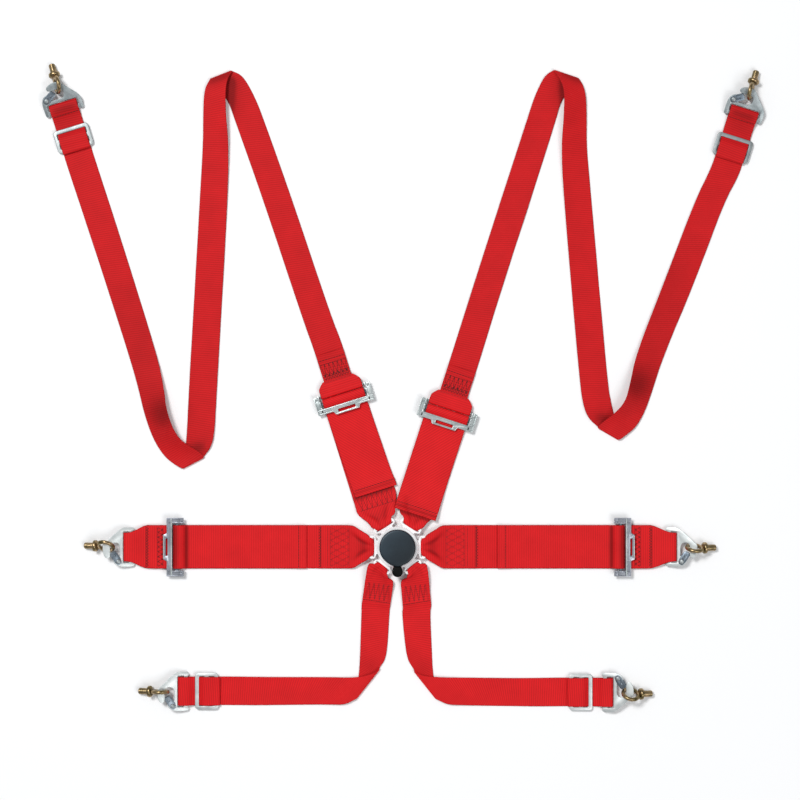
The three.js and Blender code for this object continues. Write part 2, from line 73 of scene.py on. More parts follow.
class Lane:
    """A strap's direction on the floor: s runs along it, and positive across is to its left."""

    def __init__(self, origin, along):
        self.origin = Vector((origin[0], origin[1], 0))
        self.along = Vector((along[0], along[1], 0)).normalized()
        self.left = Vector((-self.along.y, self.along.x, 0))

    def at(self, s, across, z=0.0):
        point = self.origin + self.along * s + self.left * across
        return Vector((point.x, point.y, z))

    def turned(self, degrees):
        return Lane(self.origin, Matrix.Rotation(math.radians(degrees), 3, "Z") @ self.along)


def tongue_lane(name):
    """The lane that starts on the tongue's bar and points straight out of the buckle."""
    if name == "lap_left":
        return Lane((-BAR_AT, 0), (-1, 0))
    axis = JOINTS[name + "_release"]["axis"]
    return Lane((BAR_AT * axis[0], BAR_AT * axis[1]), axis)


def hook_lane(name):
    """The lane that starts on the bracket's webbing bar and points at the eyebolt."""
    joint = JOINTS[name + "_hook_swing"]
    x, y, _ = (1000 * c for c in joint["pos_m"])
    left = [-c for c in joint["axis"]]
    return Lane((x, y), (left[1], -left[0]))


def adjuster_lane(name, start):
    """The lane from the tongue's bar through the adjuster, and the anchor bar's distance along it."""
    joint = JOINTS[name + "_tilt"]
    anchor = Vector([1000 * c for c in joint["pos_m"]])
    toward = Vector((anchor.x, anchor.y, 0)) - start.origin
    return Lane(start.origin, toward), toward.length


def wrap(s, z, radius, a0, a1, width, steps=8):
    """Path points that go round a bar from angle a0 to a1."""
    points = []
    for i in range(steps + 1):
        angle = math.radians(a0 + (a1 - a0) * i / steps)
        points.append((s + radius * math.cos(angle), z + radius * math.sin(angle), width))
    return points


def thread(path, pick, side=1):
    """Left and right edge points along a side-view path of (s, z, width), or (s, z, width, shift)."""
    stations = []
    for s, z, width, *shift in path:
        lane = pick(s)
        middle = shift[0] if shift else 0
        reach = side * width / 2
        stations.append((lane.at(s, middle + reach, z), lane.at(s, middle - reach, z)))
    return stations


def hem(path):
    """Ends a path by folding the webbing under itself."""
    depth, gap = 12.0, 1.95
    (s0, z0, *_), (s1, z1, width, *shift) = path[-2:]
    along = Vector((s1 - s0, z1 - z0)).normalized()
    down = Vector((along.y, -along.x)) if along.x > 0 else Vector((-along.y, along.x))
    end = Vector((s1, z1))
    out = list(path)
    for angle in (45, 90, 135, 180):
        sin, cos = math.sin(math.radians(angle)), math.cos(math.radians(angle))
        spot = end + along * (sin * gap / 2) + down * ((1 - cos) * gap / 2)
        out.append((spot.x, spot.y, width, *shift))
    spot = end + down * gap - along * depth
    out.append((spot.x, spot.y, width, *shift))
    return out


def flat(lx, ly, rx, ry):
    """A station on the floor from its left and right edge points."""
    return Vector((lx, ly, FLOOR)), Vector((rx, ry, FLOOR))


def raised(rows):
    """Stations from rows of the left and then the right edge point."""
    return [(Vector(edges[:3]), Vector(edges[3:])) for edges in rows]


def crease(edges, outward, radius=2.0):
    """The strap rolls over a crease onto itself, with the roll's ends drawn in to round its corners."""
    lx, ly, rx, ry = edges
    left, right = Vector((lx, ly, 0)), Vector((rx, ry, 0))
    away = Vector((ry - ly, lx - rx, 0)).normalized() * outward
    stations = []
    for angle in range(0, 181, 30):
        sin, cos = math.sin(math.radians(angle)), math.cos(math.radians(angle))
        shift = away * (radius * sin) + Vector((0, 0, FLOOR + radius * (1 - cos)))
        drawn = 0.02 + 0.06 * sin
        stations.append((left.lerp(right, drawn) + shift, right.lerp(left, drawn) + shift))
    return stations


def softened(stations, rounds=2):
    """Cuts the corners of a run of stations, and keeps its two ends."""
    for _ in range(rounds):
        out = [stations[0]]
        for (l0, r0), (l1, r1) in zip(stations, stations[1:]):
            out.append((l0.lerp(l1, 0.25), r0.lerp(r1, 0.25)))
            out.append((l0.lerp(l1, 0.75), r0.lerp(r1, 0.75)))
        out.append(stations[-1])
        stations = out
    return stations


def spaced(stations, step=7.0):
    """Adds stations so that none are further apart than step."""
    out = [stations[0]]
    for (l0, r0), (l1, r1) in zip(stations, stations[1:]):
        gap = max((l1 - l0).length, (r1 - r0).length)
        if gap < 0.05:
            continue
        count = max(1, math.ceil(gap / step))
        for i in range(1, count + 1):
            out.append((l0.lerp(l1, i / count), r0.lerp(r1, i / count)))
    return out


def skin(rings, count, start=0):
    """Faces of a tube of rings, count vertices in each, with its two ends closed."""
    faces = []
    for low in range(start, start + (rings - 1) * count, count):
        for k in range(count):
            m = (k + 1) % count
            faces.append((low + k, low + m, low + count + m, low + count + k))
    faces.append(tuple(range(start + count - 1, start - 1, -1)))
    last = start + (rings - 1) * count
    faces.append(tuple(range(last, last + count)))
    return faces


def placed(name, data):
    """A new object in the scene."""
    thing = bpy.data.objects.new(name, data)
    bpy.context.scene.collection.objects.link(thing)
    return thing


def make_object(name, vertices, faces, material, uvs=None, wear=None):
    """A smooth-shaded object from vertices in millimetres."""
    mesh = bpy.data.meshes.new(name)
    mesh.from_pydata([v * MM for v in vertices], [], faces)
    # Painted shade per vertex, kept as a mesh attribute for the webbing material
    if wear:
        mesh.attributes.new("wear", "FLOAT", "POINT").data.foreach_set("value", wear)
    if uvs:
        layer = mesh.uv_layers.new(name="web")
        for loop in mesh.loops:
            layer.data[loop.index].uv = uvs[loop.vertex_index]
    mesh.polygons.foreach_set("use_smooth", [True] * len(mesh.polygons))
    mesh.materials.append(material)
    mesh.update()
    return placed(name, mesh)


def finish_piece(thing, body, nodes=()):
    """Parents a piece to its body's empty and hides the CAD nodes that it stands for."""
    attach(thing, body)
    if nodes:
        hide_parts(*nodes)


# ---- materials ----


def shader(name):
    material = bpy.data.materials.new(name)
    material.use_nodes = True
    tree = material.node_tree
    return material, tree, tree.nodes["Principled BSDF"]


def link(tree, a, out, b, into):
    tree.links.new(a.outputs[out], b.inputs[into])


def ramp(tree, stops):
    node = tree.nodes.new("ShaderNodeValToRGB")
    elements = node.color_ramp.elements
    while len(elements) < len(stops):
        elements.new(0.5)
    for element, (position, color) in zip(elements, stops):
        element.position = position
        element.color = (*color, 1)
    return node


def texture(tree, kind, **inputs):
    """A shader node with its inputs set."""
    node = tree.nodes.new(kind)
    for key, value in inputs.items():
        node.inputs[key].default_value = value
    return node


def math_node(tree, operation, *values):
    """A math node whose inputs are numbers or other nodes' sockets."""
    node = tree.nodes.new("ShaderNodeMath")
    node.operation = operation
    for socket, value in zip(node.inputs, values):
        if isinstance(value, float):
            socket.default_value = value
        else:
            tree.links.new(value, socket)
    return node.outputs["Value"]


def webbing(name, rib_period, twill, lean, depth, dark=1.0):
    """Woven polyester: ribs across the strap, turned by lean, with fine twill and faint dye variation.

    The vertex attribute is painted shade: it darkens the selvedges, the pleats and the places where
    plies meet.
    """
    material, tree, bsdf = shader(name)
    uv = tree.nodes.new("ShaderNodeUVMap")
    uv.uv_map = "web"

    def wave(period, angle, distortion):
        turned = tree.nodes.new("ShaderNodeMapping")
        turned.inputs["Rotation"].default_value = (0, 0, angle)
        link(tree, uv, "UV", turned, "Vector")
        node = texture(tree, "ShaderNodeTexWave", Scale=0.314 / period, Distortion=distortion, Detail=0)
        node.wave_type = "BANDS"
        node.bands_direction = "X"
        link(tree, turned, "Vector", node, "Vector")
        return node.outputs["Fac"]

    ribs = wave(rib_period, lean, 0.5)
    twills = wave(0.0011, twill, 0.5)
    yarns = wave(0.0014, math.pi / 2, 0.2)
    cloud = texture(tree, "ShaderNodeTexNoise", Scale=28.0, Detail=3.0)
    geometry = tree.nodes.new("ShaderNodeNewGeometry")
    link(tree, geometry, "Position", cloud, "Vector")
    base = [0.69 * dark, 0.012 * dark, 0.015 * dark]
    dye = ramp(tree, [(0.0, [c * 0.68 for c in base]), (1.0, [c * 1.15 for c in base])])
    faint = math_node(tree, "MULTIPLY", cloud.outputs["Fac"], 0.55)
    tree.links.new(math_node(tree, "MULTIPLY_ADD", ribs, depth, faint), dye.inputs["Fac"])
    # Painted shade: the vertex attribute multiplies the dyed colour down through this ramp, to under
    # half at its darkest
    wear = tree.nodes.new("ShaderNodeAttribute")
    wear.attribute_name = "wear"
    keep = ramp(tree, [(0.0, [1, 1, 1]), (0.5, [0.84, 0.82, 0.82]), (1.0, [0.45, 0.42, 0.42])])
    link(tree, wear, "Fac", keep, "Fac")
    painted_shade_mix = tree.nodes.new("ShaderNodeMixRGB")
    painted_shade_mix.blend_type = "MULTIPLY"
    painted_shade_mix.inputs["Fac"].default_value = 1
    link(tree, dye, "Color", painted_shade_mix, "Color1")
    link(tree, keep, "Color", painted_shade_mix, "Color2")
    link(tree, painted_shade_mix, "Color", bsdf, "Base Color")
    fine = math_node(tree, "MULTIPLY", math_node(tree, "ADD", twills, yarns), 0.35)
    bump = texture(tree, "ShaderNodeBump", Strength=0.55, Distance=0.0003)
    tree.links.new(math_node(tree, "ADD", ribs, fine), bump.inputs["Height"])
    link(tree, bump, "Normal", bsdf, "Normal")
    bsdf.inputs["Roughness"].default_value = 0.62
    bsdf.inputs["Sheen Weight"].default_value = 0.04
    bsdf.inputs["Sheen Roughness"].default_value = 0.4
    bsdf.inputs["Specular IOR Level"].default_value = 0.12
    return material


def metal(name, low, high, rough, scale, bump_strength, metallic=1.0):
    """Plated or anodised metal, or thread, whose tone and roughness drift over the surface."""
    material, tree, bsdf = shader(name)
    geometry = tree.nodes.new("ShaderNodeNewGeometry")
    patches = texture(tree, "ShaderNodeTexNoise", Scale=scale, Detail=4.0, Roughness=0.6)
    grain = texture(tree, "ShaderNodeTexNoise", Scale=scale * 14, Detail=2.0)
    link(tree, geometry, "Position", patches, "Vector")
    link(tree, geometry, "Position", grain, "Vector")
    tone = ramp(tree, [(0.3, low), (0.7, high)])
    link(tree, patches, "Fac", tone, "Fac")
    link(tree, tone, "Color", bsdf, "Base Color")
    spread = tree.nodes.new("ShaderNodeMapRange")
    spread.inputs["To Min"].default_value = rough * 0.75
    spread.inputs["To Max"].default_value = rough * 1.35
    link(tree, grain, "Fac", spread, "Value")
    link(tree, spread, "Result", bsdf, "Roughness")
    bump = texture(tree, "ShaderNodeBump", Strength=bump_strength, Distance=0.0003)
    link(tree, grain, "Fac", bump, "Height")
    link(tree, bump, "Normal", bsdf, "Normal")
    bsdf.inputs["Metallic"].default_value = metallic
    return material


def paint_light_across(material, direction, reach, low, high):
    """Paints light into a material: its base colour scaled from low to high across the part, reach
    metres to each side of the origin.
    """
    tree = material.node_tree
    bsdf = tree.nodes["Principled BSDF"]
    color = bsdf.inputs["Base Color"].links[0].from_socket
    geometry = tree.nodes.new("ShaderNodeNewGeometry")
    across = tree.nodes.new("ShaderNodeVectorMath")
    across.operation = "DOT_PRODUCT"
    across.inputs[1].default_value = direction
    link(tree, geometry, "Position", across, 0)
    spread = tree.nodes.new("ShaderNodeMapRange")
    spread.interpolation_type = "SMOOTHSTEP"
    spread.inputs["From Min"].default_value = -reach
    spread.inputs["From Max"].default_value = reach
    spread.inputs["To Min"].default_value = low
    spread.inputs["To Max"].default_value = high
    tree.links.new(across.outputs["Value"], spread.inputs["Value"])
    scaled = tree.nodes.new("ShaderNodeVectorMath")
    scaled.operation = "SCALE"
    tree.links.new(color, scaled.inputs[0])
    tree.links.new(spread.outputs["Result"], scaled.inputs["Scale"])
    link(tree, scaled, "Vector", bsdf, "Base Color")


RED_WIDE = webbing("webbing_wide", 0.0039, 0.6, 0.0, 0.5)
RED_TWILL = {
    "left": webbing("webbing_twill_left", 0.0041, 0.6, 0.85, 0.6),
    "right": webbing("webbing_twill_right", 0.0041, 0.6, -0.85, 0.6),
}
RED_NARROW = webbing("webbing_narrow", 0.0038, 0.8, 0.06, 0.6, 0.85)
RED_LEG = webbing("webbing_leg", 0.0038, 0.8, 0.06, 0.6, 0.97)
THREAD = metal("stitch_thread", [0.19, 0.004, 0.007], [0.27, 0.006, 0.01], 0.7, 300, 0.3, 0.0)
THREAD_SOFT = metal("soft_thread", [0.34, 0.006, 0.01], [0.42, 0.008, 0.013], 0.7, 300, 0.3, 0.0)
# Polished buckle metal drawn near-white and barely metallic: painted reflection of the lamps in place of
# a mirror finish
SHELL_PAINTED_REFLECTION = metal("shell_painted_reflection", [0.93, 0.94, 0.95], [0.99, 0.99, 0.99], 0.34, 30, 0.02, 0.12)
THREAD_DARK = metal("dark_thread", [0.03, 0.001, 0.002], [0.08, 0.002, 0.004], 0.7, 300, 0.3, 0.0)
ZINC = metal("zinc_plate", [0.24, 0.28, 0.29], [0.42, 0.46, 0.47], 0.42, 60, 0.05, 0.85)
BRIGHT = metal("bright_plate", [0.24, 0.27, 0.28], [0.42, 0.45, 0.45], 0.48, 50, 0.04, 0.9)
ADJUSTER = metal("adjuster_plate", [0.4, 0.46, 0.46], [0.72, 0.76, 0.75], 0.3, 30, 0.03, 0.9)
# A darker copy of the adjuster plating for the lap frames: painted shade, with their ridges, rim and rod
# kept in the lighter copy
ADJUSTER_PAINTED_SHADE = metal("adjuster_painted_shade", [0.24, 0.26, 0.3], [0.48, 0.5, 0.55], 0.3, 30, 0.03, 0.9)
# A lighter copy of the same zinc plating for the lap and leg hooks and slides: painted light
PLATE_PAINTED_LIGHT = metal("plate_painted_light", [0.5, 0.54, 0.54], [0.68, 0.71, 0.7], 0.42, 60, 0.05, 0.7)
DARK = metal("dark_plate", [0.09, 0.12, 0.15], [0.26, 0.3, 0.34], 0.34, 90, 0.1)
GOLD = metal("yellow_zinc", [0.11, 0.095, 0.035], [0.5, 0.35, 0.2], 0.3, 90, 0.12)
SLATE = metal("slate_knob", [0.0095, 0.0185, 0.027], [0.0135, 0.026, 0.036], 0.4, 40, 0.03, 0.35)
# Painted light: the knob's base colour lighter toward the upper left, where the key lamp stands, and
# darker toward the lower right
paint_light_across(SLATE, (-0.75, 0.65, 0), 0.034, 0.62, 1.5)
BLACK = metal("black_tab", [0.001, 0.001, 0.001], [0.003, 0.003, 0.003], 0.6, 60, 0.03, 0.0)
BLACK.node_tree.nodes["Principled BSDF"].inputs["Specular IOR Level"].default_value = 0.12


# ---- webbing ----


def eased(low, high, value):
    """0 below low, 1 above high, and smooth between."""
    t = min(1, max(0, (value - low) / (high - low)))
    return t * t * (3 - 2 * t)


def gathered(lane, reach=42.0, depth=5.0):
    """The lie of the bunched webbing: a hollow between two pleats that close on the tongue's bar, with
    painted shade in the grooves and the hollow, toward the loop's tip and in a band by the stitching.
    """

    def dip(point, t):
        s = (point - lane.origin).dot(lane.along)
        if not -7 < s < reach:
            return 0.0, 0.0, 0.0
        middle = FLOOR + 1 + 9.3 * (1 - max(s, 0) / LOOP_CLOSES)
        above = eased(middle - 1.5, middle + 1.5, point.z)
        run = max(s, 0) / reach
        swell = math.sin(math.pi * min(1, max(s + 3, 0) / reach)) ** 0.8
        pleat = 0.2 + 0.5 * run
        inside = 1 - eased(pleat - 0.16, pleat + 0.12, abs(t))
        groove = math.exp(-(((abs(t) - pleat) / 0.13) ** 2))
        fall = -depth * swell * (0.55 * inside + 0.45 * groove) - 2.4 * (1 - run) * t**4
        back = (1.8 * t**4 - 1.2 * (1 - t * t)) * (1 - eased(-2, 8, s))
        tip = eased(0.05, 0.3, run) * (1 - eased(0.3, 0.75, run))
        band = math.exp(-(((run - 0.86) / 0.07) ** 2)) * (1 - t**4)
        # Painted shade: darkest in the pleats' grooves, less in the hollow between them, toward the
        # loop's tip and in a band by the stitching
        dark = swell * (0.7 * groove + 0.25 * inside) + 0.45 * tip * inside + 0.25 * band
        return above * fall, above * min(dark, 0.92) * depth / 5, back

    dip.lane = lane
    return dip


def shaded(spots):
    """Painted shade where plies meet, from (x, y, radius, amount, lowest z, highest z)."""

    def shade(point):
        total = 0.0
        for x, y, radius, amount, low, high in spots:
            if low <= point.z <= high:
                total += amount * math.exp(-((point.x - x) ** 2 + (point.y - y) ** 2) / radius**2)
        return min(total, 1.0)

    return shade


def along_line(x0, y0, x1, y1, radius, amount, low, high):
    """Shading spots spread along a line."""
    count = max(1, round(math.hypot(x1 - x0, y1 - y0) / radius))
    spots = []
    for i in range(count + 1):
        u = i / count
        spots.append((x0 + u * (x1 - x0), y0 + u * (y1 - y0), radius, amount, low, high))
    return spots


def across_lane(lane, s, half, *spot):
    """Shading spots spread across a lane at a distance s."""
    near, far = lane.at(s, half), lane.at(s, -half)
    return along_line(near.x, near.y, far.x, far.y, *spot)


def build_strap(name, stations, body, node, material, dip=None, shade=None):
    """A woven strap lofted through its stations, with rounded selvedges and a slight lie of its own."""
    stations = spaced(softened(stations), 5.0 if dip else 7.0)
    columns = 24 if dip else 16
    spread = [-1.0, *(0.96 * (2 * j / columns - 1) for j in range(columns + 1)), 1.0]
    ring = [(t, 1.0) for t in spread]
    ring.append((1.0, 0.0))
    ring += [(t, -1.0) for t in reversed(spread)]
    ring.append((-1.0, 0.0))
    slack = 0.35 if material == RED_WIDE else 1.1
    vertices, uvs, wear = [], [], []
    travelled = 0.0
    previous = None
    for i, (l, r) in enumerate(stations):
        before = stations[max(i - 1, 0)]
        after = stations[min(i + 1, len(stations) - 1)]
        along = (after[0] + after[1] - before[0] - before[1]).normalized()
        across = r - l
        normal = across.cross(along).normalized()
        middle = (l + r) / 2
        if previous is not None:
            travelled += (middle - previous).length
        previous = middle
        level = abs(normal.z) ** 4
        for t, face in ring:
            inset = 0.35 if face else 0.0
            spot = middle + across * (0.5 * t) * (1 - 2 * inset / across.length * abs(t))
            field = noise.noise(Vector((spot.x / 70, spot.y / 70, 3.1)))
            lift = max((0.5 + field) * slack * abs(t) ** 3 * level, 0)
            dark = shade(spot) if shade else 0.0
            if dip:
                fall, hollow, back = dip(spot, t)
                lift += fall
                dark = max(dark, hollow)
                spot = spot + dip.lane.along * back
            # Painted shade: the spots and the pleats' hollows, and a dark line along each selvedge where
            # the rounded edge turns from the light
            wear.append(max(dark, 0.8 if abs(t) == 1 else 0.0))
            thin = 0.72 if abs(t) == 1 else 1.0
            place = spot + normal * (face * thin * WEB / 2) + Vector((0, 0, lift))
            vertices.append(place)
            uvs.append((travelled * MM, t * across.length * 0.5 * MM))
    strap = make_object(name, vertices, skin(len(stations), len(ring)), material, uvs, wear)
    tidy = bmesh.new()
    tidy.from_mesh(strap.data)
    bmesh.ops.recalc_face_normals(tidy, faces=tidy.faces)
    tidy.to_mesh(strap.data)
    tidy.free()
    finish_piece(strap, body, [node])
    return strap


def top_of(strap):
    """A function that gives the highest point of the strap over a spot on the floor, and its normal."""
    tree = BVHTree.FromObject(strap, bpy.context.evaluated_depsgraph_get())

    def drop(point):
        hit, normal, _, _ = tree.ray_cast(Vector((point.x, point.y, 200)) * MM, Vector((0, 0, -1)))
        return (hit / MM, normal) if hit else None

    return drop


def stitch_lines(name, strap, body, lines, pitch=5.0, radius=0.45, material=None):
    """Rows of thread on top of the strap. Each line is a list of points on the floor plan."""
    drop = top_of(strap)
    vertices, faces = [], []
    for line in lines:
        for a, b in zip(line, line[1:]):
            run = (b - a).length
            count = max(1, round(run / pitch))
            for i in range(count):
                ends = [a.lerp(b, (i + 0.04) / count), a.lerp(b, (i + 0.96) / count)]
                hits = [drop(p) for p in ends]
                if None in hits:
                    continue
                (p, up), (q, _) = hits
                direction = (q - p).normalized()
                if up.z < 0:
                    up = -up
                side = direction.cross(up).normalized()
                faces += skin(4, 5, len(vertices))
                for place, size in ((0.0, 0.35), (0.15, 1.0), (0.85, 1.0), (1.0, 0.35)):
                    centre = p.lerp(q, place) + up * (radius * 0.45 if size == 1.0 else -0.1)
                    for k in range(5):
                        angle = 2 * math.pi * k / 5
                        around = side * math.cos(angle) + up * math.sin(angle)
                        vertices.append(centre + around * radius * size)
    if vertices:
        finish_piece(make_object(name, vertices, faces, material or THREAD), body)


def zigzag(lane, s0, s1, half, teeth, phase=0):
    """A zigzag row that runs across the strap between s0 and s1."""
    points = []
    for i in range(2 * teeth + 1):
        points.append(lane.at(s0 if (i + phase) % 2 else s1, -half + half * i / teeth))
    return points


def row(lane, s, half):
    """A straight row across the strap."""
    return [lane.at(s, -half), lane.at(s, half)]


def bar_tack(lane, s0, s1, half, teeth, rows=1):
    """The sewn block of a load-bearing joint: rows of zigzag that meet in diamonds, inside a border."""
    edge = half - 2
    lines = [row(lane, s0, edge), row(lane, s1, edge)]
    step = (s1 - s0) / rows
    for i in range(rows):
        lines.append(zigzag(lane, s0 + i * step, s0 + (i + 1) * step, edge, teeth, i % 2))
    return lines


def overlock(lane, s, half):
    """A narrow dense zigzag over a cut edge."""
    return [zigzag(lane, s - 2.2, s + 2.2, half - 1.5, round(half / 2.6))]


def tongue_loop(sewn, width, bunched, opening):
    """A loop bunched at the tongue's bar that opens out through (distance, width, shift) steps."""
    under = [(s, FLOOR + 6.2 * (1 - s / LOOP_CLOSES), *rest) for s, *rest in opening]
    over = [(s, FLOOR + PLY + 12.4 * (1 - s / LOOP_CLOSES), *rest) for s, *rest in opening]
    return [
        (sewn, FLOOR, width),
        (LOOP_CLOSES, FLOOR, width),
        *reversed(under),
        *wrap(0, TONGUE_Z, 4.05, -90, -270, bunched),
        *over,
        (LOOP_CLOSES, FLOOR + PLY, width),
        (sewn + 1, FLOOR + PLY, width),
        (sewn + 8, FLOOR, width),
    ]


def slide_threading(c):
    """The path through a slide whose middle is c from the bracket, round the bracket's bar and back."""
    over = SLIDE_BAR_Z + 3 + 0.4 + FLOOR
    under = FLOOR + PLY
    return [
        (-c - 45, FLOOR, NARROW),
        (-c - 12.5, FLOOR, NARROW),
        (-c - 4.5, over, NARROW),
        (-c + 4.5, over, NARROW),
        (-c + 12.5, FLOOR, NARROW),
        (2, FLOOR, NARROW),
        *wrap(8.8, 5.6, 4.85, -90, 90, NARROW),
        (-3.5, 10.6, NARROW),
        (-13, under + 0.4, NARROW),
        (-c + 13.3, under, NARROW),
        (-c + 5.3, over + PLY, NARROW),
        (-c - 4.5, over + PLY + 0.3, NARROW),
        (-c - 13, over + 0.4, NARROW),
        *wrap(-c - 19.8, (over + under) / 2, (over - under) / 2 + 0.2, 90, 270, NARROW),
        (-c - 14, under, NARROW),
    ]


SHOULDERS = {
    "left": dict(
        tail=[(86, 2.65, WIDE, -3), (76, 4.8, WIDE, -4), (61, 6.6, WIDE, -5)],
        tail_hem=(61, 71),
        rising=[(-164, 393, -115, 400), (-235, 607, -185, 609), (-285, 748, -235, 750)],
        top=[
            (-296, 780, 1.0, -248, 783, 0.75),
            (-310, 796, 1.0, -263, 812, 0.75),
            (-322, 808, 1.0, -274, 826, 0.75),
        ],
        top_crease=(-330, 815, -287, 832),
        falling=[
            (-336, 803, 4.6, -296, 820, 9),
            (-339, 784, 4.4, -300, 798, 15),
            (-340, 745, 1.4, -299, 752, 15),
            (-340, 712, 0.75, -295, 712, 8),
            (-345, 620, 0.75, -296, 620, 0.75),
            (-366, 257, 0.75, -317, 257, 0.75),
            (-368, 205, 0.75, -320, 197, 3),
            (-371, 172, 0.75, -326, 174, 4),
        ],
        bottom_crease=(-379, 137, -337, 159),
        outgoing=[
            (-390, 144, 4.2, -350, 169, 6),
            (-408, 158, 3, -366, 178, 14),
            (-427, 187, 1, -386, 196, 25),
            (-443, 232, 0.75, -402, 239, 24),
            (-452, 272, 0.75, -407, 276, 12),
            (-468, 330, 0.75, -420, 334, 0.75),
            (-535, 537, 0.75, -484, 539, 0.75),
        ],
    ),
    "right": dict(
        tail=[(76, 2.65, WIDE), (64, 4.6, WIDE), (45, 6, WIDE), (28, 11, WIDE), (21, 13, WIDE)],
        tail_hem=(21, 32),
        rising=[(136, 467, 186, 463), (181, 607, 232, 604), (227, 748, 277, 746)],
        top=[
            (238, 783, 0.75, 286, 780, 1.0),
            (250, 810, 0.75, 299, 796, 1.0),
            (259, 825, 0.75, 309, 808, 1.0),
        ],
        top_crease=(270, 833, 320, 816),
        falling=[
            (281, 822, 9, 326, 804, 4.6),
            (291, 798, 15, 330, 784, 4.4),
            (290, 752, 15, 331, 745, 1.4),
            (286, 700, 8, 331, 700, 0.75),
            (290, 620, 0.75, 338, 620, 0.75),
            (319, 283, 0.75, 368, 283, 0.75),
            (326, 242, 3, 374, 250, 0.75),
            (335, 223, 4, 381, 221, 0.75),
        ],
        bottom_crease=(349, 211, 390, 187),
        outgoing=[
            (362, 221, 6, 402, 197, 4.2),
            (377, 232, 14, 417, 209, 3),
            (396, 253, 24, 433, 236, 1),
            (405, 284, 17, 446, 273, 0.75),
            (417, 337, 4, 465, 333, 0.75),
            (468, 467, 0.75, 520, 463, 0.75),
            (521, 607, 0.75, 572, 604, 0.75),
        ],
    ),
}


